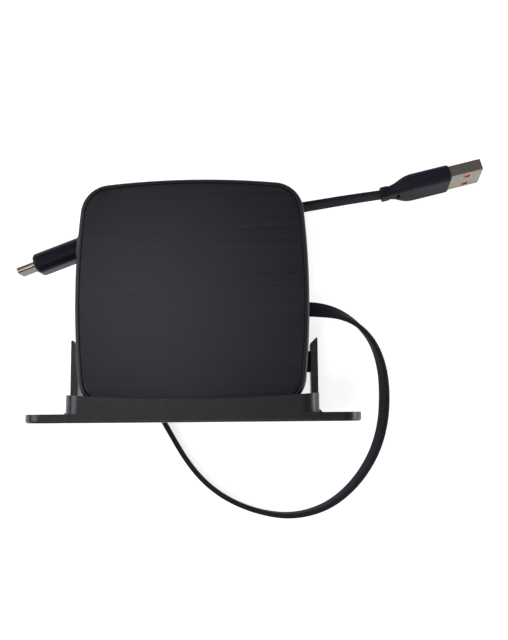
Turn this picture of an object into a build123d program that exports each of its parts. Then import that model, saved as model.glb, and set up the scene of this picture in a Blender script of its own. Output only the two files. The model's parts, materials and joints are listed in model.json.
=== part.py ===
from build123d import *
import os
from math import cos, pi, radians, sin, sqrt, tan

# Retractable charging cable in a square reel box, lying on its back with the face plate up.
# Millimetres, +Z up, origin under the middle of the box and bracket, on the table.

# Case shells
case_width = 84.0
case_height = 84.0
case_bulge = 2.6
corner_radius = 11.0
wall = 2.0
back_z = 7.0
rim_width = 1.5
rim_round = 1.3
screw_inset = 10.0
screw_radius = 1.25
screw_head_radius = 2.3
screw_head_height = 1.6
screw_length = 10.0
boss_radius = 3.4
fit_gap = 0.05
loose_gap = 0.3

# Face plate
plate_thickness = 1.2
plate_step = 0.2
plate_gap = 0.15
plate_web = 1.6

# Ribbon cable and its winding
ribbon_width = 5.5
ribbon_thickness = 1.8
ribbon_slack = 0.25
turns = 7
turn_pitch = 2.0

# Reel
reel_margin = 5.4
flange_thickness = 1.2
flange_margin = 1.5
ratchet_thickness = 2.0
notch_count = 6
notch_depth = 2.2
notch_floor = 2.6
notch_ramp = 4.6
reel_headroom = 1.6
axle_radius = 4.0
arbor_radius = 6.0

# Spring barrel on the back
barrel_radius = 25.0
barrel_wall = 5.0
cover_thickness = 2.0
cover_screw_count = 3
cover_screw_radius = 1.0
cover_screw_head = 1.8
cover_screw_length = 5.0
spring_thickness = 0.5
spring_turns = 7
spring_pitch = 1.5

# Contacts
board_thickness = 1.2
board_radius = 22.0
board_tail = 12.0
ring_count = 4
ring_width = 1.2
ring_pitch = 2.4
ring_first = 10.5
ring_thickness = 0.2
brush_space = 2.0
brush_thickness = 0.3
brush_length = 4.0
brush_gap = 0.2

# Pawl
pawl_boss_gap = 9.6
pawl_pivot_rise = 1.6
pawl_tip_angle = 83.0
pawl_tip_width = 1.4
pawl_hub_radius = 2.4
pawl_pin_radius = 1.2
pawl_pin_head = 2.0
pawl_spring_wire = 0.7

# Port and plug of the pull-out ribbon
pull_angle = 200.5
grip_breadth = 12.0
grip_thickness = 7.6
grip_round = 3.7
grip_inside = 6.0
grip_outside = 17.6
grip_nose = 1.6
port_gap = 0.4
port_rim_wall = 0.9
port_rim_proud = 0.8
usb_c_breadth = 8.25
usb_c_thickness = 2.4
usb_c_length = 6.65
usb_c_sheet = 0.25
usb_c_mouth = (6.7, 0.8)
usb_c_mouth_depth = 5.0
usb_c_recess = 0.4

# Lead outlet and USB-A plug
lead_diameter = 3.6
lead_bend_share = 0.45
lead_offset = -4.35
gland_breadth = 7.2
gland_height = 4.0
gland_flange = 1.2
collar_breadth = 6.8
collar_depth = 4.6
collar_round = 2.1
collar_length = 2.8
collar_step = 0.6
neck_length = 8.3
neck_steps = 4
neck_round_share = 0.42
neck_seam = 0.2
neck_slot = (3.4, 1.1)
usb_a_breadth = 14.4
usb_a_depth = 6.6
usb_a_round = 2.8
usb_a_grip_length = 15.2
usb_a_nose = 1.1
usb_a_shell_breadth = 12.0
usb_a_shell_depth = 4.5
usb_a_shell_length = 12.0
usb_a_sheet = 0.3
usb_a_shell_round = 0.45
usb_a_window = 2.2
usb_a_window_pitch = 6.2
usb_a_window_from = 6.4
tongue_depth = 1.9
tongue_length = 11.2
strip_width = 1.0
strip_thickness = 0.15
strip_from = 2.8
strip_length = 7.5
strip_places = (-3.5, -1.0, 1.0, 3.5)
usb_a_roll = 80.0

# Bracket
ear_span = 119.0
ear_round = 7.0
ear_hole_radius = 2.25
ear_hole_inset = 7.5
base_thickness = 3.2
bracket_wall = 2.6
bracket_corner = 6.0
bracket_edge = 0.9
lip_height = 10.2
lip_dip = 2.1
arm_height = 30.0
arm_depth = 11.0
arm_lead_in = 2.1
arm_peak_round = 0.4
hook_reach = 3.0
hook_height = 8.0
hook_drop = 4.0
hook_thickness = 1.8
foot_web = 1.2

# Route of the flat lead, from the outlet in the right wall to the USB-A plug.
# It drops to the table, loops, passes under the bracket and round the spring barrel.
lead_route = [
    (42.0, -2.6, 11.2),
    (49.6, -2.6, 11.2),
    (59.2, -5.7, 8.0),
    (66.3, -13.4, 4.4),
    (70.0, -23.2, 2.8),
    (71.0, -33.8, 2.8),
    (69.8, -45.4, 2.8),
    (66.0, -56.2, 2.8),
    (59.1, -65.8, 2.8),
    (50.8, -73.1, 2.8),
    (42.4, -77.2, 2.8),
    (33.0, -78.8, 2.8),
    (22.4, -76.9, 2.8),
    (11.8, -72.7, 2.8),
    (3.1, -66.7, 2.8),
    (-3.4, -58.8, 2.8),
    (-8.7, -50.3, 2.8),
    (-14.9, -39.7, 2.8),
    (-22.7, -29.6, 2.8),
    (-30.0, -18.6, 2.8),
    (-34.4, -6.0, 2.8),
    (-34.0, 8.0, 2.8),
    (-29.4, 21.2, 2.8),
    (-20.8, 31.4, 2.8),
    (-8.8, 37.2, 2.8),
    (4.8, 38.6, 2.8),
    (18.8, 37.8, 2.8),
    (32.5, 36.9, 3.2),
    (46.2, 37.2, 4.6),
    (58.7, 38.8, 7.5),
    (70.6, 41.6, 7.5),
]

# Heights, from the back of the case up to its face
floor_z = back_z + wall
board_top = floor_z + board_thickness
reel_bottom = board_top + brush_space
lane_bottom = reel_bottom + flange_thickness
lane_top = lane_bottom + ribbon_width + 2 * ribbon_slack
ribbon_z = (lane_bottom + lane_top) / 2
reel_top = lane_top + ratchet_thickness
ceiling_z = reel_top + reel_headroom
recess_z = ceiling_z + plate_web
front_z = recess_z + plate_thickness + plate_step
lead_z = lead_route[0][2]

# The box and the base of the bracket share one middle in Y
total_height = case_height + loose_gap + base_thickness
base_y = -total_height / 2
case_y = total_height / 2 - case_height / 2

# Reel inside the case, its winding and the tangent that runs to the port
flange_radius = min(case_width, case_height) / 2 - wall - reel_margin
wind_end = flange_radius - flange_margin - ribbon_thickness / 2
wind_start = wind_end - turns * turn_pitch
hub_radius = wind_start - ribbon_thickness / 2 - loose_gap
tangent_angle = pull_angle - 90
pull_way = Vector(cos(radians(pull_angle)), sin(radians(pull_angle)), 0)
tangent_point = Vector(
    wind_end * cos(radians(tangent_angle)),
    case_y + wind_end * sin(radians(tangent_angle)),
    ribbon_z,
)
port_run = (-case_width / 2 - tangent_point.X) / pull_way.X
ribbon_clear = wind_end + ribbon_thickness / 2 + loose_gap
tail_start = sqrt(ribbon_clear ** 2 - (wind_end - ribbon_thickness / 2) ** 2)

screw_x = case_width / 2 - screw_inset
screw_y = case_height / 2 - screw_inset
screw_seat = back_z + screw_head_height + loose_gap
cover_screw_place = barrel_radius - barrel_wall / 2
barrel_bore = barrel_radius - barrel_wall
spring_end = barrel_bore - loose_gap - spring_thickness / 2
spring_start = spring_end - spring_turns * spring_pitch
arbor_bottom = cover_thickness + loose_gap

pawl_z = lane_top
pawl_pivot = (screw_x - boss_radius - pawl_boss_gap, flange_radius + pawl_pivot_rise)
pawl_tip_radius = flange_radius + loose_gap
pawl_tip = (
    pawl_tip_radius * cos(radians(pawl_tip_angle)),
    pawl_tip_radius * sin(radians(pawl_tip_angle)),
)

bracket_inner = case_width / 2 + loose_gap
bracket_outer = bracket_inner + bracket_wall
lip_back = front_z + 2 * loose_gap
bracket_front = lip_back + bracket_wall
arm_front = back_z + arm_depth
base_top = base_y + base_thickness
ear_hole_spacing = ear_span - 2 * ear_hole_inset


def case_plane(height):
    """Level plane at a height, centred on the case."""
    return Plane((0, case_y, height))


def case_outline(inset):
    """Square with bulged sides and rounded corners, drawn inside the case wall by the inset."""
    half_x = case_width / 2 - inset
    half_y = case_height / 2 - inset
    corner_x = half_x - case_bulge
    corner_y = half_y - case_bulge
    with BuildSketch() as outline:
        with BuildLine():
            ThreePointArc((-corner_x, corner_y), (0, half_y), (corner_x, corner_y))
            ThreePointArc((corner_x, corner_y), (half_x, 0), (corner_x, -corner_y))
            ThreePointArc((corner_x, -corner_y), (0, -half_y), (-corner_x, -corner_y))
            ThreePointArc((-corner_x, -corner_y), (-half_x, 0), (-corner_x, corner_y))
        make_face()
        fillet(outline.vertices(), radius=corner_radius - inset)
    return outline.sketch


def spiral_band(start, pitch, count, thickness):
    """Flat strip wound outwards in half turns, as a closed outline that ends on the +X side."""
    last = start + count * pitch
    with BuildSketch() as band:
        with BuildLine():
            for side in (-1, 1):
                for half in range(2 * count):
                    centre = (pitch / 2) * (half % 2)
                    turn = 1 - 2 * (half % 2)
                    reach = turn * (start + half * pitch / 2 + side * thickness / 2)
                    ThreePointArc((centre + reach, 0), (centre, reach), (centre - reach, 0))
            Line((start - thickness / 2, 0), (start + thickness / 2, 0))
            Line((last - thickness / 2, 0), (last + thickness / 2, 0))
        make_face()
    return band.sketch


def outlet_plane(place):
    """Plane across the lead's outlet in the right wall, at a place along X."""
    return Plane((place, case_y + lead_offset, lead_z), x_dir=(0, 1, 0), z_dir=(1, 0, 0))


def pull_plane(run):
    """Plane across the pull-out ribbon, a given run from where it leaves the winding."""
    return Plane(tangent_point + pull_way * run, x_dir=(0, 0, 1), z_dir=pull_way)


def save(builder, name):
    """Label one finished piece and write it."""
    builder.part.label = name
    export_step(builder.part, f"parts/{name}.step")


os.makedirs("parts", exist_ok=True)

# Front shell: rounded frame with a recess for the face plate
with BuildPart() as front_shell:
    with BuildSketch(case_plane(ribbon_z)):
        add(case_outline(0))
    extrude(amount=front_z - ribbon_z)
    fillet(front_shell.edges().group_by(Axis.Z)[-1], radius=rim_round)
    with BuildSketch(case_plane(ribbon_z)):
        add(case_outline(wall))
    extrude(amount=ceiling_z - ribbon_z, mode=Mode.SUBTRACT)
    with BuildSketch(case_plane(recess_z)):
        add(case_outline(rim_width))
    extrude(amount=front_z - recess_z, mode=Mode.SUBTRACT)
    with BuildSketch(case_plane(ribbon_z)):
        with GridLocations(2 * screw_x, 2 * screw_y, 2, 2):
            Circle(boss_radius)
            Circle(screw_radius + fit_gap, mode=Mode.SUBTRACT)
    extrude(amount=ceiling_z - ribbon_z)
    with BuildSketch(pull_plane(port_run)):
        RectangleRounded(
            grip_breadth + 2 * (port_gap + port_rim_wall + fit_gap),
            grip_thickness + 2 * (port_gap + port_rim_wall + fit_gap),
            grip_round + port_gap + port_rim_wall,
        )
    extrude(amount=2 * corner_radius, both=True, mode=Mode.SUBTRACT)
save(front_shell, "front_shell")

# Back shell: tray with screw bosses and the spring barrel
with BuildPart() as back_shell:
    with BuildSketch(case_plane(back_z)):
        add(case_outline(0))
    extrude(amount=ribbon_z - back_z)
    fillet(back_shell.edges().group_by(Axis.Z)[0], radius=rim_round)
    with BuildSketch(case_plane(floor_z)):
        add(case_outline(wall))
    extrude(amount=ribbon_z - floor_z, mode=Mode.SUBTRACT)
    with BuildSketch(case_plane(cover_thickness)):
        Circle(barrel_radius)
        Circle(barrel_bore, mode=Mode.SUBTRACT)
    extrude(amount=back_z - cover_thickness)
    with BuildSketch(case_plane(floor_z)):
        with GridLocations(2 * screw_x, 2 * screw_y, 2, 2):
            Circle(boss_radius)
    extrude(amount=ribbon_z - floor_z)
    with Locations(case_plane(back_z)):
        with GridLocations(2 * screw_x, 2 * screw_y, 2, 2):
            Cylinder(
                screw_head_radius + loose_gap,
                screw_seat - back_z,
                align=(Align.CENTER, Align.CENTER, Align.MIN),
                mode=Mode.SUBTRACT,
            )
            Cylinder(
                screw_radius + loose_gap,
                ribbon_z - back_z,
                align=(Align.CENTER, Align.CENTER, Align.MIN),
                mode=Mode.SUBTRACT,
            )
    with BuildSketch(case_plane(back_z)):
        Circle(arbor_radius + loose_gap)
    extrude(amount=wall, mode=Mode.SUBTRACT)
    with BuildSketch(case_plane(cover_thickness)):
        with PolarLocations(cover_screw_place, cover_screw_count, start_angle=90):
            Circle(cover_screw_radius + fit_gap)
    extrude(amount=cover_screw_length - cover_thickness + loose_gap, mode=Mode.SUBTRACT)
    with BuildSketch(pull_plane(port_run)):
        RectangleRounded(
            grip_breadth + 2 * (port_gap + port_rim_wall + fit_gap),
            grip_thickness + 2 * (port_gap + port_rim_wall + fit_gap),
            grip_round + port_gap + port_rim_wall,
        )
    extrude(amount=2 * corner_radius, both=True, mode=Mode.SUBTRACT)
    with BuildSketch(outlet_plane(case_width / 2)):
        RectangleRounded(gland_breadth, gland_height, gland_height / 3)
    extrude(amount=2 * wall, both=True, mode=Mode.SUBTRACT)
save(back_shell, "back_shell")

# Brushed face plate in its recess
with BuildPart() as front_plate:
    with BuildSketch(case_plane(recess_z)):
        add(case_outline(rim_width + plate_gap))
    extrude(amount=plate_thickness)
    chamfer(front_plate.edges().group_by(Axis.Z)[-1], length=plate_thickness / 4)
save(front_plate, "front_plate")

# Collar round the port, proud of the left wall
with BuildPart() as port_rim:
    with BuildSketch(case_plane(floor_z)):
        add(case_outline(-port_rim_proud))
    extrude(amount=ceiling_z - floor_z)
    with BuildSketch(case_plane(floor_z)):
        add(case_outline(wall + port_rim_proud))
    extrude(amount=ceiling_z - floor_z, mode=Mode.SUBTRACT)
    with BuildSketch(pull_plane(port_run)):
        RectangleRounded(
            grip_breadth + 2 * (port_gap + port_rim_wall),
            grip_thickness + 2 * (port_gap + port_rim_wall),
            grip_round + port_gap + port_rim_wall,
        )
        RectangleRounded(
            grip_breadth + 2 * port_gap,
            grip_thickness + 2 * port_gap,
            grip_round + port_gap,
            mode=Mode.SUBTRACT,
        )
    extrude(amount=2 * corner_radius, both=True, mode=Mode.INTERSECT)
save(port_rim, "port_rim")

# Screws that draw the shells together from the back
with BuildPart() as case_screws:
    with BuildSketch(case_plane(screw_seat)):
        with GridLocations(2 * screw_x, 2 * screw_y, 2, 2):
            Circle(screw_radius)
    extrude(amount=screw_length)
    with BuildSketch(case_plane(screw_seat)):
        with GridLocations(2 * screw_x, 2 * screw_y, 2, 2):
            Circle(screw_head_radius)
    extrude(amount=-screw_head_height)
    with BuildSketch(case_plane(screw_seat - screw_head_height)):
        with GridLocations(2 * screw_x, 2 * screw_y, 2, 2):
            Rectangle(screw_head_radius, screw_head_radius / 4)
            Rectangle(screw_head_radius / 4, screw_head_radius)
    extrude(amount=screw_head_height / 2, mode=Mode.SUBTRACT)
save(case_screws, "case_screws")

# Round cover of the spring barrel, the face that the object lies on
with BuildPart() as spring_cover:
    with BuildSketch(case_plane(0)):
        Circle(barrel_radius)
    extrude(amount=cover_thickness)
    chamfer(spring_cover.edges().group_by(Axis.Z)[0], length=cover_thickness / 3)
    with Locations(case_plane(0)):
        with PolarLocations(cover_screw_place, cover_screw_count, start_angle=90):
            Cone(
                cover_screw_head + loose_gap,
                cover_screw_radius + fit_gap,
                cover_thickness,
                align=(Align.CENTER, Align.CENTER, Align.MIN),
                mode=Mode.SUBTRACT,
            )
save(spring_cover, "spring_cover")

# Countersunk screws of the cover
with BuildPart() as cover_screws:
    with Locations(case_plane(loose_gap)):
        with PolarLocations(cover_screw_place, cover_screw_count, start_angle=90):
            Cone(
                cover_screw_head,
                cover_screw_radius,
                cover_thickness - loose_gap,
                align=(Align.CENTER, Align.CENTER, Align.MIN),
            )
            Cylinder(
                cover_screw_radius,
                cover_screw_length - loose_gap,
                align=(Align.CENTER, Align.CENTER, Align.MIN),
            )
save(cover_screws, "cover_screws")

# Fixed axle between the cover and the front shell
with BuildPart() as reel_axle:
    with BuildSketch(case_plane(cover_thickness)):
        Circle(axle_radius)
    extrude(amount=ceiling_z - cover_thickness)
save(reel_axle, "reel_axle")

# Reel: hub, two flanges, spring arbor below and ratchet notches in the upper rim
with BuildPart() as reel:
    with BuildSketch(Plane((0, case_y, 0), x_dir=(1, 0, 0), z_dir=(0, -1, 0))):
        with BuildLine():
            Polyline(
                (axle_radius + fit_gap, arbor_bottom),
                (arbor_radius, arbor_bottom),
                (arbor_radius, reel_bottom),
                (flange_radius, reel_bottom),
                (flange_radius, lane_bottom),
                (hub_radius, lane_bottom),
                (hub_radius, lane_top),
                (flange_radius, lane_top),
                (flange_radius, reel_top),
                (axle_radius + fit_gap, reel_top),
                close=True,
            )
        make_face()
    revolve(axis=Axis((0, case_y, 0), (0, 0, 1)))
    with BuildSketch(case_plane(lane_top)):
        with PolarLocations(flange_radius, notch_count, start_angle=pawl_tip_angle):
            Polygon(
                (loose_gap, notch_floor / 2),
                (-notch_depth, notch_floor / 2),
                (-notch_depth, -notch_floor / 2),
                (loose_gap, -notch_floor / 2 - notch_ramp),
                align=None,
            )
    extrude(amount=ratchet_thickness, mode=Mode.SUBTRACT)
save(reel, "reel")

# Ribbon wound on the reel
with BuildPart() as wound_cable:
    with BuildSketch(
        Plane(
            (0, case_y, lane_bottom + ribbon_slack),
            x_dir=(cos(radians(tangent_angle)), sin(radians(tangent_angle)), 0),
            z_dir=(0, 0, 1),
        )
    ):
        add(spiral_band(wind_start, turn_pitch, turns, ribbon_thickness))
    extrude(amount=ribbon_width)
save(wound_cable, "wound_cable")

# Flat spiral spring in the barrel
with BuildPart() as power_spring:
    with BuildSketch(case_plane(arbor_bottom)):
        add(spiral_band(spring_start, spring_pitch, spring_turns, spring_thickness))
    extrude(amount=back_z - arbor_bottom - loose_gap)
save(power_spring, "power_spring")

# Board on the floor of the back shell, with a tail to the lead
with BuildPart() as contact_board:
    with BuildSketch(case_plane(floor_z)):
        Circle(board_radius)
        with Locations((0, lead_offset)):
            Rectangle(
                case_width / 2 - wall - gland_flange - loose_gap,
                board_tail,
                align=(Align.MIN, Align.CENTER),
            )
        Circle(arbor_radius + 2 * loose_gap, mode=Mode.SUBTRACT)
    extrude(amount=board_thickness)
save(contact_board, "contact_board")

# Slip rings on the board
with BuildPart() as slip_rings:
    with BuildSketch(case_plane(board_top)):
        for ring in reversed(range(ring_count)):
            Circle(ring_first + ring * ring_pitch)
            Circle(ring_first + ring * ring_pitch - ring_width, mode=Mode.SUBTRACT)
    extrude(amount=ring_thickness)
save(slip_rings, "slip_rings")

# Sprung contacts under the lower flange, one for each ring
with BuildPart() as contact_brushes:
    for ring in range(ring_count):
        track = ring_first + ring * ring_pitch - ring_width / 2
        tip_z = board_top + ring_thickness + brush_gap
        with BuildSketch(Plane((track, case_y, 0), x_dir=(0, 1, 0), z_dir=(1, 0, 0))):
            with BuildLine():
                Polyline(
                    (brush_length / 2, reel_bottom),
                    (brush_length / 4, reel_bottom),
                    (-brush_length / 2, tip_z + brush_thickness),
                    (-brush_length / 2, tip_z),
                    (brush_length / 4, reel_bottom - brush_thickness),
                    (brush_length / 2, reel_bottom - brush_thickness),
                    close=True,
                )
            make_face()
        extrude(amount=ring_width / 3, both=True)
save(contact_brushes, "contact_brushes")

# Pawl beside the ratchet rim, clear of the notches at rest
with BuildPart() as ratchet_pawl:
    with BuildSketch(case_plane(pawl_z)):
        with BuildLine():
            Polyline(
                (pawl_pivot[0] - pawl_hub_radius / 3, pawl_pivot[1] + pawl_hub_radius),
                (pawl_tip[0] + pawl_tip_width, pawl_tip[1] + 2 * pawl_tip_width),
                (pawl_tip[0] - pawl_tip_width / 2, pawl_tip[1] + 2 * pawl_tip_width),
                (pawl_tip[0] - pawl_tip_width / 2, pawl_tip[1]),
                (pawl_tip[0] + pawl_tip_width / 2, pawl_tip[1]),
                (pawl_tip[0] + 2 * pawl_tip_width, pawl_tip[1] + pawl_tip_width),
                (pawl_pivot[0] - pawl_hub_radius / 3, pawl_pivot[1] - pawl_hub_radius),
                close=True,
            )
        make_face()
        with Locations(pawl_pivot):
            Circle(pawl_hub_radius)
            Circle(pawl_pin_radius + fit_gap, mode=Mode.SUBTRACT)
    extrude(amount=ratchet_thickness)
save(ratchet_pawl, "ratchet_pawl")

# Headed pin that the pawl turns on, hung from the front shell
with BuildPart() as pawl_pin:
    with BuildSketch(case_plane(pawl_z - loose_gap)):
        with Locations(pawl_pivot):
            Circle(pawl_pin_radius)
    extrude(amount=ceiling_z - pawl_z + loose_gap)
    with BuildSketch(case_plane(pawl_z - loose_gap)):
        with Locations(pawl_pivot):
            Circle(pawl_pin_head)
    extrude(amount=-pawl_pin_radius)
save(pawl_pin, "pawl_pin")

# Coiled spring on the pin, above the pawl
with BuildPart() as pawl_spring:
    with BuildSketch(case_plane(reel_top + loose_gap)):
        with Locations(pawl_pivot):
            Circle(pawl_pin_radius + loose_gap + pawl_spring_wire)
            Circle(pawl_pin_radius + loose_gap, mode=Mode.SUBTRACT)
        with Locations((pawl_pivot[0] + pawl_pin_radius + loose_gap, pawl_pivot[1])):
            Rectangle(2 * pawl_hub_radius, pawl_spring_wire, align=(Align.MIN, Align.CENTER))
    extrude(amount=reel_headroom - 2 * loose_gap)
save(pawl_spring, "pawl_spring")

# Ribbon from the winding to the plug
with BuildPart() as ribbon_tail:
    with BuildSketch(pull_plane(tail_start)):
        RectangleRounded(ribbon_width, ribbon_thickness, ribbon_thickness / 3)
    extrude(amount=port_run - grip_inside - tail_start)
save(ribbon_tail, "ribbon_tail")

# Grip of the USB-C plug, parked in the port
grip_end = port_run + grip_outside
with BuildPart() as usb_c_overmould:
    with BuildSketch(pull_plane(port_run - grip_inside)):
        RectangleRounded(grip_breadth, grip_thickness, grip_round)
    extrude(amount=grip_inside + grip_outside)
    fillet(usb_c_overmould.faces().sort_by(Axis((0, 0, 0), pull_way))[-1].edges(), radius=grip_nose)
save(usb_c_overmould, "usb_c_overmould")

# Drawn metal tip of the USB-C plug
with BuildPart() as usb_c_shell:
    with BuildSketch(pull_plane(grip_end)):
        SlotOverall(usb_c_breadth, usb_c_thickness)
        SlotOverall(usb_c_breadth - 2 * usb_c_sheet, usb_c_thickness - 2 * usb_c_sheet, mode=Mode.SUBTRACT)
    extrude(amount=usb_c_length)
save(usb_c_shell, "usb_c_shell")

# Contact carrier inside the tip
with BuildPart() as usb_c_insert:
    with BuildSketch(pull_plane(grip_end)):
        SlotOverall(
            usb_c_breadth - 2 * (usb_c_sheet + fit_gap),
            usb_c_thickness - 2 * (usb_c_sheet + fit_gap),
        )
    extrude(amount=usb_c_length - usb_c_recess)
    with BuildSketch(pull_plane(grip_end + usb_c_length - usb_c_recess)):
        Rectangle(*usb_c_mouth)
    extrude(amount=-usb_c_mouth_depth, mode=Mode.SUBTRACT)
save(usb_c_insert, "usb_c_insert")

# Gland that holds the flat lead in the right wall
with BuildPart() as lead_gland:
    with BuildSketch(outlet_plane(case_width / 2)):
        RectangleRounded(
            gland_breadth - 2 * fit_gap,
            gland_height - 2 * fit_gap,
            gland_height / 3,
        )
    extrude(amount=-wall - gland_flange)
    with BuildSketch(outlet_plane(case_width / 2 - wall - loose_gap)):
        RectangleRounded(gland_breadth + 2 * gland_flange, gland_height, gland_height / 3)
    extrude(amount=-gland_flange + loose_gap)
save(lead_gland, "lead_gland")

# Flat lead as a plain cord of the same section area
with BuildPart() as input_lead:
    with BuildLine():
        corners = [Vector(*point) for point in lead_route]
        radii = []
        for before, corner, after in zip(corners, corners[1:], corners[2:]):
            run_in = corner - before
            run_out = after - corner
            half_turn = radians(run_in.get_angle(run_out)) / 2
            radii.append(lead_bend_share * min(run_in.length, run_out.length) / tan(half_turn))
        lead_path = FilletPolyline(*corners, radius=radii)
    with BuildSketch(Plane(lead_path @ 0, z_dir=lead_path % 0)):
        Circle(lead_diameter / 2)
    sweep()
save(input_lead, "input_lead")
print("lead length", round(lead_path.length, 1))

# USB-A plug at the end of the lead, rolled on its edge on the table
plug_way = (corners[-1] - corners[-2]).normalized()
plug_side = Vector(0, 0, 1).cross(plug_way)
broad_way = Vector(0, 0, 1) * sin(radians(usb_a_roll)) + plug_side * cos(radians(usb_a_roll))
face_way = Vector(0, 0, 1) * cos(radians(usb_a_roll)) - plug_side * sin(radians(usb_a_roll))
lead_end = Vector(*lead_route[-1])
grip_start = collar_length + neck_length
shell_start = grip_start + usb_a_grip_length


def plug_plane(run):
    """Plane across the USB-A plug, a given run from the end of the lead."""
    return Plane(lead_end + plug_way * run, x_dir=broad_way, z_dir=plug_way)


# Collar and bottle neck of the USB-A plug
neck_start = (collar_breadth - collar_step, collar_depth - collar_step)
neck_end = (usb_a_breadth - neck_seam, usb_a_depth - neck_seam)
with BuildPart() as usb_a_neck:
    with BuildSketch(plug_plane(0)):
        RectangleRounded(collar_breadth, collar_depth, collar_round)
    extrude(amount=collar_length)
    for step in range(neck_steps + 1):
        share = step / neck_steps
        growth = (1 - cos(pi * share)) / 2
        breadth = neck_start[0] + (neck_end[0] - neck_start[0]) * growth
        depth = neck_start[1] + (neck_end[1] - neck_start[1]) * growth
        with BuildSketch(plug_plane(collar_length + neck_length * share)):
            RectangleRounded(breadth, depth, depth * neck_round_share)
    loft()
    slot_place = lead_end + plug_way * (collar_length + neck_slot[0])
    with BuildSketch(Plane(slot_place, x_dir=broad_way, z_dir=face_way)):
        SlotOverall(*neck_slot)
    extrude(amount=usb_a_depth, both=True, mode=Mode.SUBTRACT)
save(usb_a_neck, "usb_a_neck")

# Grip of the USB-A plug
with BuildPart() as usb_a_body:
    with BuildSketch(plug_plane(grip_start)):
        RectangleRounded(usb_a_breadth, usb_a_depth, usb_a_round)
    extrude(amount=usb_a_grip_length)
    fillet(usb_a_body.faces().sort_by(Axis((0, 0, 0), plug_way))[-1].edges(), radius=usb_a_nose)
save(usb_a_body, "usb_a_body")

# Folded metal shell with two windows in each broad face
with BuildPart() as usb_a_shell:
    with BuildSketch(plug_plane(shell_start)):
        RectangleRounded(usb_a_shell_breadth, usb_a_shell_depth, usb_a_shell_round)
        Rectangle(
            usb_a_shell_breadth - 2 * usb_a_sheet,
            usb_a_shell_depth - 2 * usb_a_sheet,
            mode=Mode.SUBTRACT,
        )
    extrude(amount=usb_a_shell_length)
    window_place = lead_end + plug_way * (shell_start + usb_a_window_from)
    with BuildSketch(Plane(window_place, x_dir=broad_way, z_dir=face_way)):
        with Locations((-usb_a_window_pitch / 2, 0), (usb_a_window_pitch / 2, 0)):
            Rectangle(usb_a_window, usb_a_window)
    extrude(amount=usb_a_shell_depth, both=True, mode=Mode.SUBTRACT)
save(usb_a_shell, "usb_a_shell")

# Red tongue on the inner side of the face with the windows
tongue_top = usb_a_shell_depth / 2 - usb_a_sheet - fit_gap
with BuildPart() as usb_a_insert:
    with BuildSketch(plug_plane(shell_start)):
        with Locations((0, tongue_top)):
            Rectangle(
                usb_a_shell_breadth - 2 * (usb_a_sheet + fit_gap),
                tongue_depth,
                align=(Align.CENTER, Align.MAX),
            )
    extrude(amount=tongue_length)
save(usb_a_insert, "usb_a_insert")

# Four contact strips on the tongue
with BuildPart() as usb_a_contacts:
    with BuildSketch(plug_plane(shell_start + strip_from)):
        for place in strip_places:
            with Locations((place, tongue_top - tongue_depth)):
                Rectangle(strip_width, strip_thickness, align=(Align.CENTER, Align.MAX))
    extrude(amount=strip_length)
save(usb_a_contacts, "usb_a_contacts")

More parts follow.
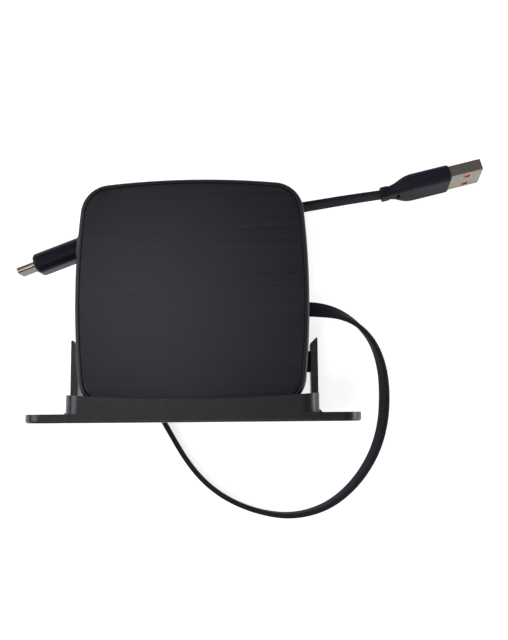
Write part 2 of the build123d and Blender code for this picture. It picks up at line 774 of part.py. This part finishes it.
# Bracket: base with two screw ears, front lip, two arms with hooks behind the case
with BuildPart() as bracket:
    with BuildSketch(Plane.XZ.offset(-base_y)):
        with Locations((0, (back_z + bracket_front) / 2)):
            RectangleRounded(ear_span, bracket_front - back_z, ear_round)
    extrude(amount=-base_thickness)
    fillet(bracket.edges().group_by(Axis.Y)[0], radius=bracket_edge)
    with BuildSketch(Plane.XZ.offset(-base_top)):
        with BuildLine():
            outside = FilletPolyline(
                (-bracket_outer, back_z),
                (-bracket_outer, bracket_front),
                (bracket_outer, bracket_front),
                (bracket_outer, back_z),
                radius=bracket_corner,
            )
            inside = FilletPolyline(
                (-bracket_inner, back_z),
                (-bracket_inner, lip_back),
                (bracket_inner, lip_back),
                (bracket_inner, back_z),
                radius=bracket_corner - bracket_wall,
            )
            Line(outside @ 0, inside @ 0)
            Line(outside @ 1, inside @ 1)
        make_face()
    extrude(amount=base_thickness - arm_height)
    with BuildSketch(Plane.XY.offset(arm_front)):
        with BuildLine():
            lip_top = ThreePointArc(
                (-bracket_outer - bracket_wall, base_y + lip_height),
                (0, base_y + lip_height - lip_dip),
                (bracket_outer + bracket_wall, base_y + lip_height),
            )
            Polyline(
                lip_top @ 1,
                (bracket_outer + bracket_wall, base_y + arm_height + bracket_wall),
                (-bracket_outer - bracket_wall, base_y + arm_height + bracket_wall),
                lip_top @ 0,
            )
        make_face()
    extrude(amount=bracket_front - arm_front + bracket_wall, mode=Mode.SUBTRACT)
    arm_tops = bracket.edges().filter_by(Axis.Z).group_by(Axis.Y)[-1]
    arm_middle = (bracket_inner + bracket_outer) / 2
    chamfer(arm_tops.filter_by(lambda edge: abs(edge.center().X) < arm_middle), length=arm_lead_in)
    arm_peaks = bracket.edges().filter_by(Axis.Z).group_by(Axis.Y)[-1]
    peak_edge = bracket_outer - fit_gap
    fillet(arm_peaks.filter_by(lambda edge: abs(edge.center().X) > peak_edge), radius=arm_peak_round)
    hook_y = base_y + arm_height - hook_drop
    for side in (-1, 1):
        with BuildSketch(Plane.XZ.offset(-hook_y)):
            with BuildLine():
                Polyline(
                    (side * bracket_outer, back_z),
                    (side * bracket_outer, back_z - loose_gap - hook_thickness),
                    (side * (bracket_inner - hook_reach / 2), back_z - loose_gap - hook_thickness),
                    (side * (bracket_inner - hook_reach), back_z - loose_gap - hook_thickness / 2),
                    (side * (bracket_inner - hook_reach), back_z - loose_gap),
                    (side * bracket_inner, back_z - loose_gap),
                    (side * bracket_inner, back_z),
                    close=True,
                )
            make_face()
        extrude(amount=hook_height)
    with BuildSketch(Plane.XZ.offset(-base_y)):
        with Locations((0, (back_z + bracket_front) / 2)):
            with GridLocations(ear_hole_spacing, 1, 2, 1):
                Circle(ear_hole_radius)
    extrude(amount=-base_thickness, mode=Mode.SUBTRACT)
    with BuildSketch(Plane.XY.offset(back_z)):
        for side in (-1, 1):
            with BuildLine():
                Polyline(
                    (side * bracket_outer, base_top),
                    (side * (bracket_outer + foot_web), base_top),
                    (side * bracket_outer, base_top + foot_web),
                    close=True,
                )
            make_face()
    extrude(amount=bracket_front - bracket_corner - foot_web - back_z)
save(bracket, "bracket")
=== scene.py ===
import json
from math import cos, pi, radians, sin

import bmesh
import bpy
from mathutils import Euler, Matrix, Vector


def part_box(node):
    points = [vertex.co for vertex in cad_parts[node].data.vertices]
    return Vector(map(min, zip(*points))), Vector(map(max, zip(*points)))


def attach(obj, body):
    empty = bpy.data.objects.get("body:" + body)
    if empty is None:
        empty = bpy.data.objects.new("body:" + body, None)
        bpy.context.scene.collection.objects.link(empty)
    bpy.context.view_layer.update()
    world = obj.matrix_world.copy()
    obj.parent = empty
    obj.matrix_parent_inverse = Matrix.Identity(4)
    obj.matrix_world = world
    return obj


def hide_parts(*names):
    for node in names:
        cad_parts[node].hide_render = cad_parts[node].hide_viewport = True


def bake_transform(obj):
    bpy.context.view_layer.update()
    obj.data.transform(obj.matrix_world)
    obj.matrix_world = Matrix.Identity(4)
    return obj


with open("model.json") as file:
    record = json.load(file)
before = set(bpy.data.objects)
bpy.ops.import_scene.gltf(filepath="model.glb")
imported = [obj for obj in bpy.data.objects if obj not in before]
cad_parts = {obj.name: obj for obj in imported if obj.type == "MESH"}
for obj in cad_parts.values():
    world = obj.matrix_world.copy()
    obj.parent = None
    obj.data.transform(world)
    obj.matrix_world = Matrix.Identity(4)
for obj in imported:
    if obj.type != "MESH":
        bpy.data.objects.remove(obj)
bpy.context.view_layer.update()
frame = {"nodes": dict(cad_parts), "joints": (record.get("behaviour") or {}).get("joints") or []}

# Retractable charging cable: finishes of the CAD pieces, the flat lead, the pull-out ribbon and the stage

MM = 0.001
UP = Vector((0, 0, 1))

# Picture and camera
PICTURE_HEIGHT = 640
FOCAL_PIXELS = 800.0
SENSOR = 36.0
CAMERA_PLACE = Vector((30.4, -40.5, 307.0)) * MM
CAMERA_TURN = Euler((radians(6.57), radians(1.73), radians(-0.52)))
CAMERA_NEAREST = 0.01

# Floor, in metres, and room
FLOOR_REACH = 8.0
FLOOR_CELLS = 8
FLOOR_GLOW = 0.72
ROOM_COLOUR = (0.92, 0.94, 1.0, 1.0)
ROOM_STRENGTH = 0.34

# Shading and broken edges of the CAD pieces
WELD_REACH = 0.002 * MM
FLAT_ANGLE = radians(0.3)
SHARP_ANGLE = radians(35.0)
EDGE_STEPS = 2
BRACKET_EDGE = 0.4 * MM
SMALL_EDGE = 0.2 * MM

# Marks on the surfaces, in waves per metre along each axis, and how deep they are
PLASTIC_GRAIN = (5200.0,) * 3
PLASTIC_CLOUD = (90.0,) * 3
BRUSHED_HAIR = (22.0, 5200.0, 60.0)
BRUSHED_STRAND = (9.0, 900.0, 30.0)
BRUSHED_CLOUD = (30.0, 70.0, 30.0)
JACKET_GRAIN = (3800.0,) * 3
JACKET_WIPE = (160.0,) * 3
NICKEL_LINES = (500.0, 2600.0, 2600.0)
NICKEL_MARKS = (420.0,) * 3
RED_SWIRL = (900.0,) * 3
BOARD_TRACES = (500.0, 500.0, 1.0)
FLOOR_PAPER = (40.0,) * 3
GRAIN_DEPTH = 0.03 * MM
LINE_DEPTH = 0.01 * MM

# Flat lead and pull-out ribbon
RIBBON_WIDTH = 5.5 * MM
RIBBON_THICKNESS = 1.8 * MM
RIBBON_CORNER = RIBBON_THICKNESS * 0.42
RIBBON_SHARP_ANGLE = radians(50)
CORNER_STEPS = 4
TAIL_STEPS = 24
LEAD_CURVE_ORDER = 3
LEAD_CURVE_STEPS = 10
# Steering points of the lead in mm, from the outlet in the right wall to the USB-A plug
LEAD_ROUTE = [
    (42.0, -2.6, 11.2),
    (49.5, -3.0, 11.2),
    (58.8, -6.3, 8.0),
    (66.2, -13.5, 4.4),
    (69.8, -23.2, 2.8),
    (70.6, -33.8, 2.8),
    (69.6, -45.4, 2.8),
    (66.1, -56.2, 2.8),
    (59.6, -66.2, 2.8),
    (51.2, -73.7, 2.8),
    (42.5, -77.6, 2.8),
    (33.0, -79.0, 2.8),
    (22.3, -77.3, 2.8),
    (11.6, -73.1, 2.8),
    (2.9, -66.9, 2.8),
    (-3.8, -59.1, 2.8),
    (-9.1, -50.5, 2.8),
    (-15.1, -39.8, 2.8),
    (-22.7, -29.6, 2.8),
    (-30.0, -18.6, 2.8),
    (-34.4, -6.0, 2.8),
    (-34.0, 8.0, 2.8),
    (-29.4, 21.2, 2.8),
    (-20.8, 31.4, 2.8),
    (-8.8, 37.2, 2.8),
    (4.8, 38.6, 2.8),
    (18.8, 37.8, 2.8),
    (32.5, 37.1, 3.2),
    (46.1, 38.8, 4.6),
    (58.4, 40.0, 7.5),
    (70.6, 41.6, 7.5),
]
# Share of the lead's length, and how far the ribbon is rolled there: 0 lies flat, -90 stands on edge
LEAD_ROLL = [
    (0.0, 0),
    (0.01, -12),
    (0.035, -57),
    (0.06, -84),
    (0.10, -107),
    (0.14, -119),
    (0.20, -115),
    (0.26, -106),
    (0.31, -95),
    (0.36, -86),
    (0.48, -85),
    (0.75, -90),
    (0.90, -112),
    (1.0, -103),
]
ROLL_EASE = 0.012
ROLL_STEPS = (-1.0, -0.5, 0.0, 0.5, 1.0)


class Field:
    """A value that varies over a surface. Arithmetic on it adds Math nodes."""

    def __init__(self, finish, socket):
        self.finish = finish
        self.socket = socket

    def maths(self, operation, first, second):
        return self.finish.node("ShaderNodeMath", {"operation": operation}, {0: first, 1: second})

    def __add__(self, other):
        return self.maths("ADD", self, other)

    def __radd__(self, other):
        return self.maths("ADD", other, self)

    def __sub__(self, other):
        return self.maths("SUBTRACT", self, other)

    def __rsub__(self, other):
        return self.maths("SUBTRACT", other, self)

    def __mul__(self, other):
        return self.maths("MULTIPLY", self, other)

    def __rmul__(self, other):
        return self.maths("MULTIPLY", other, self)


class Finish:
    """One procedural material on a single shader. Constants go straight on the shader's sockets."""

    def __init__(self, name, **constants):
        self.material = bpy.data.materials.new(name)
        self.material.use_nodes = True
        self.tree = self.material.node_tree
        self.shader = self.tree.nodes["Principled BSDF"]
        for words, value in constants.items():
            self.shader.inputs[words.replace("_", " ")].default_value = value

    def node(self, kind, settings, sockets, output=0):
        """Add a node: its settings first, then the values or links of its sockets."""
        made = self.tree.nodes.new(kind)
        for key, value in settings.items():
            setattr(made, key, value)
        for key, value in sockets.items():
            self.feed(made.inputs[key], value)
        return Field(self, made.outputs[output])

    def feed(self, socket, value):
        if isinstance(value, Field):
            self.tree.links.new(value.socket, socket)
        else:
            socket.default_value = value

    def place(self, stretch):
        """Position on the piece in metres, multiplied along each axis."""
        spot = self.node("ShaderNodeTexCoord", {}, {}, "Object")
        return self.node("ShaderNodeVectorMath", {"operation": "MULTIPLY"}, {0: spot, 1: stretch})

    def noise(self, waves, detail=3.0, rough=0.5):
        sockets = {"Vector": self.place(waves), "Scale": 1.0, "Detail": detail, "Roughness": rough}
        return self.node("ShaderNodeTexNoise", {}, sockets, "Fac")

    def spread(self, field, low, high):
        """Stretch the middle of a noise, from low to high, over 0 to 1."""
        sockets = {"Value": field, "From Min": low, "From Max": high}
        return self.node("ShaderNodeMapRange", {"clamp": True}, sockets)

    def facing(self, way):
        """How far the surface of the piece at rest faces a way: 1 straight, 0 edge on."""
        normal = self.node("ShaderNodeTexCoord", {}, {}, "Normal")
        return self.node("ShaderNodeVectorMath", {"operation": "DOT_PRODUCT"}, {0: normal, 1: way}, "Value")

    def colour(self, share, first, second):
        """Mix of two colours, each plain or already painted."""
        ends = [part if isinstance(part, Field) else (*part, 1.0) for part in (first, second)]
        return self.node("ShaderNodeMix", {"data_type": "RGBA"}, {0: share, 6: ends[0], 7: ends[1]}, 2)

    def paint(self, **sockets):
        for words, field in sockets.items():
            self.feed(self.shader.inputs[words.replace("_", " ")], field)

    def bump(self, height, depth, strength=1.0):
        sockets = {"Height": height, "Distance": depth, "Strength": strength}
        self.paint(Normal=self.node("ShaderNodeBump", {}, sockets))


def grained_plastic(name, dark, light, rough, mirror=0.4):
    """Moulded plastic: spark-eroded grain with faint clouding of shade and gloss."""
    finish = Finish(name, Specular_IOR_Level=mirror)
    fine = finish.noise(PLASTIC_GRAIN, detail=2.0)
    haze = finish.spread(finish.noise(PLASTIC_CLOUD), 0.3, 0.7)
    finish.paint(
        Base_Color=finish.colour(haze * 0.6 + fine * 0.4, dark, light),
        Roughness=(rough - 0.07) + haze * 0.06 + fine * 0.08,
    )
    finish.bump(fine, GRAIN_DEPTH)
    return finish.material


def brushed_black_plate():
    """Black anodised face, brushed from side to side, with a brighter cut edge that is partly bare metal
    and partly a painted highlight.
    """
    finish = Finish("brushed_black_plate", Metallic=0.3, Specular_IOR_Level=0.4)
    hair = finish.noise(BRUSHED_HAIR, detail=4.0, rough=0.65)
    strand = finish.spread(finish.noise(BRUSHED_STRAND, detail=3.0, rough=0.6), 0.3, 0.72)
    cloud = finish.noise(BRUSHED_CLOUD, detail=2.0)
    shade = strand * 0.4 + hair * 0.4 + cloud * 0.2
    brushed = finish.colour(shade, (0.003, 0.0024, 0.0044), (0.0195, 0.0172, 0.0247))
    # Faces tilted away from straight up (the chamfer) get a lighter colour: partly bare cut metal, partly a
    # painted highlight where light catches the edge.
    bare_edge_and_highlight = finish.spread(1 - finish.facing(UP), 0.06, 0.20)
    finish.paint(
        Base_Color=finish.colour(bare_edge_and_highlight, brushed, (0.075, 0.072, 0.076)),
        Roughness=0.23 + shade * 0.14,
    )
    finish.bump(hair * 0.7 + strand * 0.3, GRAIN_DEPTH, 0.5)
    return finish.material


def matte_jacket():
    """Rubber of the ribbon: matte with a fine grain and wiped patches."""
    finish = Finish("ribbon_jacket", Specular_IOR_Level=0.05)
    fine = finish.noise(JACKET_GRAIN, detail=3.0)
    wipe = finish.spread(finish.noise(JACKET_WIPE, detail=2.0), 0.35, 0.7)
    finish.paint(
        Base_Color=finish.colour(fine * 0.5 + wipe * 0.5, (0.0145, 0.0142, 0.019), (0.0215, 0.021, 0.0275)),
        Roughness=0.52 + wipe * 0.14 + fine * 0.06,
    )
    finish.bump(fine, GRAIN_DEPTH)
    return finish.material


def nickel_shell(name, tint, rough, wear=1.0, grazing=1.0):
    """Plated sheet metal with faint drawing lines and handling marks. It can dim at a grazing look."""
    finish = Finish(name, Metallic=1.0, Specular_Tint=(grazing, grazing, grazing, 1.0))
    lines = finish.noise(NICKEL_LINES, detail=3.0)
    marks = finish.spread(finish.noise(NICKEL_MARKS, detail=4.0), 0.45, 0.75)
    worn = tuple(0.72 * part for part in tint)
    finish.paint(
        Base_Color=finish.colour(marks * (0.5 * wear) + lines * (0.3 * wear), tint, worn),
        Roughness=rough + lines * (0.10 * wear) + marks * (0.12 * wear),
    )
    finish.bump(lines, LINE_DEPTH, 0.6 * wear)
    return finish.material


def red_moulding():
    """Glossy red plastic of the plug's tongue."""
    finish = Finish("red_moulding")
    swirl = finish.noise(RED_SWIRL)
    finish.paint(
        Base_Color=finish.colour(swirl, (0.62, 0.035, 0.018), (0.80, 0.075, 0.035)),
        Roughness=0.30 + swirl * 0.12,
    )
    return finish.material


def coated_board():
    """Green solder mask over copper."""
    finish = Finish("coated_board", Coat_Weight=0.3, Coat_Roughness=0.2)
    traces = finish.spread(finish.noise(BOARD_TRACES, detail=0.0), 0.48, 0.52)
    finish.paint(
        Base_Color=finish.colour(traces, (0.012, 0.09, 0.035), (0.03, 0.17, 0.06)),
        Roughness=0.35 + traces * 0.08,
    )
    return finish.material


def dress(names, material, edge=0.0):
    """Give CAD pieces their finish, joined shading and softly broken edges."""
    for name in names:
        piece = frame["nodes"][name]
        piece.data.materials.clear()
        piece.data.materials.append(material)
        weld = piece.modifiers.new("join_facets", "WELD")
        weld.merge_threshold = WELD_REACH
        if edge:
            flats = piece.modifiers.new("whole_flats", "DECIMATE")
            flats.decimate_type = "DISSOLVE"
            flats.angle_limit = FLAT_ANGLE
            bevel = piece.modifiers.new("broken_edges", "BEVEL")
            bevel.width = edge
            bevel.segments = EDGE_STEPS
            bevel.limit_method = "ANGLE"
            bevel.angle_limit = SHARP_ANGLE
        shading = piece.modifiers.new("even_faces", "WEIGHTED_NORMAL")
        shading.keep_sharp = True
        piece.data.polygons.foreach_set("use_smooth", [True] * len(piece.data.polygons))
        piece.data.set_sharp_from_angle(angle=SHARP_ANGLE)


def ribbon_section():
    """Points round the ribbon's flat section with rounded corners, across and up."""
    points = []
    for quarter in range(4):
        side_x = 1 if quarter in (0, 3) else -1
        side_y = 1 if quarter in (0, 1) else -1
        for step in range(CORNER_STEPS + 1):
            angle = pi / 2 * (quarter + step / CORNER_STEPS)
            points.append((
                side_x * (RIBBON_WIDTH / 2 - RIBBON_CORNER) + RIBBON_CORNER * cos(angle),
                side_y * (RIBBON_THICKNESS / 2 - RIBBON_CORNER) + RIBBON_CORNER * sin(angle),
            ))
    return points


def tube_mesh(name, rings):
    """Closed skin over rings of points, with capped ends."""
    built = bmesh.new()
    loops = [[built.verts.new(point) for point in ring] for ring in rings]
    for here, there in zip(loops, loops[1:]):
        for index in range(len(here)):
            after = (index + 1) % len(here)
            built.faces.new((here[index], here[after], there[after], there[index]))
    built.faces.new(list(reversed(loops[0])))
    built.faces.new(loops[-1])
    bmesh.ops.recalc_face_normals(built, faces=built.faces)
    mesh = bpy.data.meshes.new(name)
    built.to_mesh(mesh)
    built.free()
    mesh.polygons.foreach_set("use_smooth", [True] * len(mesh.polygons))
    mesh.set_sharp_from_angle(angle=RIBBON_SHARP_ANGLE)
    piece = bpy.data.objects.new(name, mesh)
    bpy.context.scene.collection.objects.link(piece)
    return piece


def smooth_line(points):
    """Points of the smooth curve that the route's points steer."""
    line = bpy.data.curves.new("lead_line", "CURVE")
    line.dimensions = "3D"
    spline = line.splines.new("NURBS")
    spline.points.add(len(points) - 1)
    for control, point in zip(spline.points, points):
        control.co = (*point, 1.0)
    spline.order_u = LEAD_CURVE_ORDER
    spline.use_endpoint_u = True
    spline.resolution_u = LEAD_CURVE_STEPS
    holder = bpy.data.objects.new("lead_line", line)
    bpy.context.scene.collection.objects.link(holder)
    traced = bpy.data.meshes.new_from_object(holder)
    path = [vertex.co.copy() for vertex in traced.vertices]
    bpy.data.objects.remove(holder)
    bpy.data.meshes.remove(traced)
    return path


def between(table, share):
    """Value of a table of (share, value) rows, in straight runs from row to row."""
    for (low, before), (high, after) in zip(table, table[1:]):
        if share <= high:
            part = max(share - low, 0.0) / (high - low)
            return before + (after - before) * part
    return table[-1][1]


def roll_at(share):
    """Roll of the flat lead in radians, eased over the corners of its table."""
    rolls = [between(LEAD_ROLL, share + ROLL_EASE * step) for step in ROLL_STEPS]
    return radians(sum(rolls) / len(rolls))


def flat_lead():
    """The lead's ribbon: flat at the outlet, then rolled on edge round the loop."""
    path = smooth_line([Vector(point) * MM for point in LEAD_ROUTE])
    section = ribbon_section()
    runs = [0.0]
    for before, after in zip(path, path[1:]):
        runs.append(runs[-1] + (after - before).length)
    rings = []
    for index, point in enumerate(path):
        ahead = path[min(index + 1, len(path) - 1)] - path[max(index - 1, 0)]
        along = ahead.normalized()
        right = along.cross(UP).normalized()
        upright = right.cross(along).normalized()
        roll = roll_at(runs[index] / runs[-1])
        face = upright * cos(roll) + right * sin(roll)
        across = along.cross(face)
        rings.append([point + across * x + face * y for x, y in section])
    lead = tube_mesh("flat_lead", rings)
    return lead, path


def pull_ribbon(port_way):
    """Ribbon between the winding and the USB-C plug, laid along the way the plug draws out."""
    low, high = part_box("ribbon_tail")
    middle = (low + high) / 2
    half_run = (high.x - low.x - RIBBON_THICKNESS * abs(port_way.y)) / 2 / abs(port_way.x)
    face = port_way.cross(UP)
    section = ribbon_section()
    rings = []
    for step in range(TAIL_STEPS + 1):
        centre = middle + port_way * half_run * (2 * step / TAIL_STEPS - 1)
        rings.append([centre + UP * x + face * y for x, y in section])
    ribbon = tube_mesh("pull_ribbon", rings)
    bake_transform(ribbon)
    return ribbon


def pale_floor():
    """Plain pale table under the object, with a glow of its own that keeps it white."""
    finish = Finish(
        "pale_floor",
        Roughness=0.7,
        Specular_IOR_Level=0.1,
        Emission_Color=(1.0, 1.0, 1.0, 1.0),
        Emission_Strength=FLOOR_GLOW,
    )
    paper = finish.noise(FLOOR_PAPER, detail=2.0)
    finish.paint(Base_Color=finish.colour(paper, (0.90, 0.90, 0.90), (0.92, 0.92, 0.92)))
    built = bmesh.new()
    bmesh.ops.create_grid(built, x_segments=FLOOR_CELLS, y_segments=FLOOR_CELLS, size=FLOOR_REACH)
    mesh = bpy.data.meshes.new("pale_floor")
    built.to_mesh(mesh)
    built.free()
    mesh.materials.append(finish.material)
    floor = bpy.data.objects.new("pale_floor", mesh)
    bpy.context.scene.collection.objects.link(floor)


def soft_box(name, place, size, power, tint, aim=(0, 0, 0)):
    """Flat lamp turned towards a point."""
    lamp = bpy.data.lights.new(name, "AREA")
    lamp.shape = "RECTANGLE"
    lamp.size, lamp.size_y = size
    lamp.energy = power
    lamp.color = tint
    holder = bpy.data.objects.new(name, lamp)
    holder.location = place
    holder.rotation_euler = (Vector(aim) - Vector(place)).to_track_quat("-Z", "Y").to_euler()
    bpy.context.scene.collection.objects.link(holder)


def studio():
    """Even pale room with soft lamps overhead, on the left and on the near side, and a low warm window."""
    world = bpy.data.worlds.new("white_room")
    bpy.context.scene.world = world
    world.use_nodes = True
    backdrop = world.node_tree.nodes["Background"]
    backdrop.inputs["Color"].default_value = ROOM_COLOUR
    backdrop.inputs["Strength"].default_value = ROOM_STRENGTH
    soft_box("ceiling_lamp", (-0.23, 0.17, 1.3), size=(0.3, 0.3), power=0.88, tint=(0.98, 0.98, 1.0))
    soft_box("left_lamp", (-1.1, 0.1, 0.9), size=(0.9, 0.9), power=9.5, tint=(0.94, 0.96, 1.0))
    soft_box("near_lamp", (-0.16, -0.66, 1.31), size=(0.3, 0.3), power=2.6, tint=(1.0, 0.98, 0.95))
    soft_box(
        "right_window", (1.1, -0.2, 0.16), size=(1.0, 0.26), power=6.5, tint=(1.0, 0.92, 0.82),
        aim=(0, 0, 0.01),
    )


def photo_camera():
    """Camera above the bracket, leaning a little towards the box."""
    lens = bpy.data.cameras.new("photo_camera")
    lens.sensor_width = SENSOR
    lens.lens = FOCAL_PIXELS / PICTURE_HEIGHT * SENSOR
    lens.clip_start = CAMERA_NEAREST
    camera = bpy.data.objects.new("photo_camera", lens)
    camera.location = CAMERA_PLACE
    camera.rotation_euler = CAMERA_TURN
    bpy.context.scene.collection.objects.link(camera)
    bpy.context.scene.camera = camera


# Finishes of the pieces
case_plastic = grained_plastic(
    "case_plastic", (0.008, 0.008, 0.0115), (0.013, 0.013, 0.0175), rough=0.36, mirror=0.27
)
bracket_plastic = grained_plastic(
    "bracket_plastic", (0.0035, 0.0032, 0.0055), (0.0062, 0.0058, 0.009), rough=0.28, mirror=0.44
)
rim_plastic = grained_plastic("rim_plastic", (0.05, 0.05, 0.055), (0.08, 0.08, 0.085), rough=0.42)
grip_plastic = grained_plastic(
    "grip_plastic", (0.009, 0.010, 0.016), (0.0155, 0.017, 0.026), rough=0.48, mirror=0.075
)
pull_grip_plastic = grained_plastic(
    "pull_grip_plastic", (0.0058, 0.0064, 0.0105), (0.0105, 0.0116, 0.0182), rough=0.36, mirror=0.10
)
neck_rubber = grained_plastic(
    "neck_rubber", (0.0085, 0.009, 0.013), (0.013, 0.014, 0.020), rough=0.54, mirror=0.08
)
inner_plastic = grained_plastic("inner_plastic", (0.35, 0.35, 0.35), (0.48, 0.48, 0.48), rough=0.45)
plate_metal = brushed_black_plate()
ribbon_jacket = matte_jacket()
plug_nickel = nickel_shell("plug_nickel", (0.25, 0.226, 0.188), rough=0.32)
tip_nickel = nickel_shell("tip_nickel", (0.25, 0.223, 0.182), rough=0.2, wear=0.05, grazing=0.55)
bright_steel = nickel_shell("bright_steel", (0.50, 0.50, 0.51), rough=0.32)
gold_contact = nickel_shell("gold_contact", (0.80, 0.56, 0.24), rough=0.25)
red_plastic = red_moulding()
green_board = coated_board()

dress(["front_plate"], plate_metal)
dress(["front_shell", "back_shell", "spring_cover"], case_plastic)
dress(["bracket"], bracket_plastic, edge=BRACKET_EDGE)
dress(["port_rim"], rim_plastic, edge=SMALL_EDGE)
dress(["usb_c_overmould"], pull_grip_plastic)
dress(["usb_a_body", "lead_gland", "usb_c_insert"], grip_plastic)
dress(["usb_a_neck"], neck_rubber, edge=SMALL_EDGE)
dress(["usb_a_shell"], plug_nickel)
dress(["usb_c_shell"], tip_nickel)
dress(["usb_a_insert"], red_plastic)
dress(["usb_a_contacts", "slip_rings", "contact_brushes"], gold_contact)
dress(["case_screws", "cover_screws", "reel_axle", "power_spring", "pawl_pin", "pawl_spring"], bright_steel)
dress(["reel", "ratchet_pawl"], inner_plastic)
dress(["contact_board"], green_board)
dress(["wound_cable"], ribbon_jacket)

# Cords
pull_joint = next(joint for joint in frame["joints"] if joint["name"] == "plug_pull")
tail = pull_ribbon(Vector(pull_joint["axis"]).normalized())
tail.data.materials.append(ribbon_jacket)
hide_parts("ribbon_tail")

lead, lead_path = flat_lead()
lead.data.materials.append(ribbon_jacket)
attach(lead, "housing")
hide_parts("input_lead")

# Stage
pale_floor()
studio()
photo_camera()
bpy.context.scene.view_settings.view_transform = "Standard"
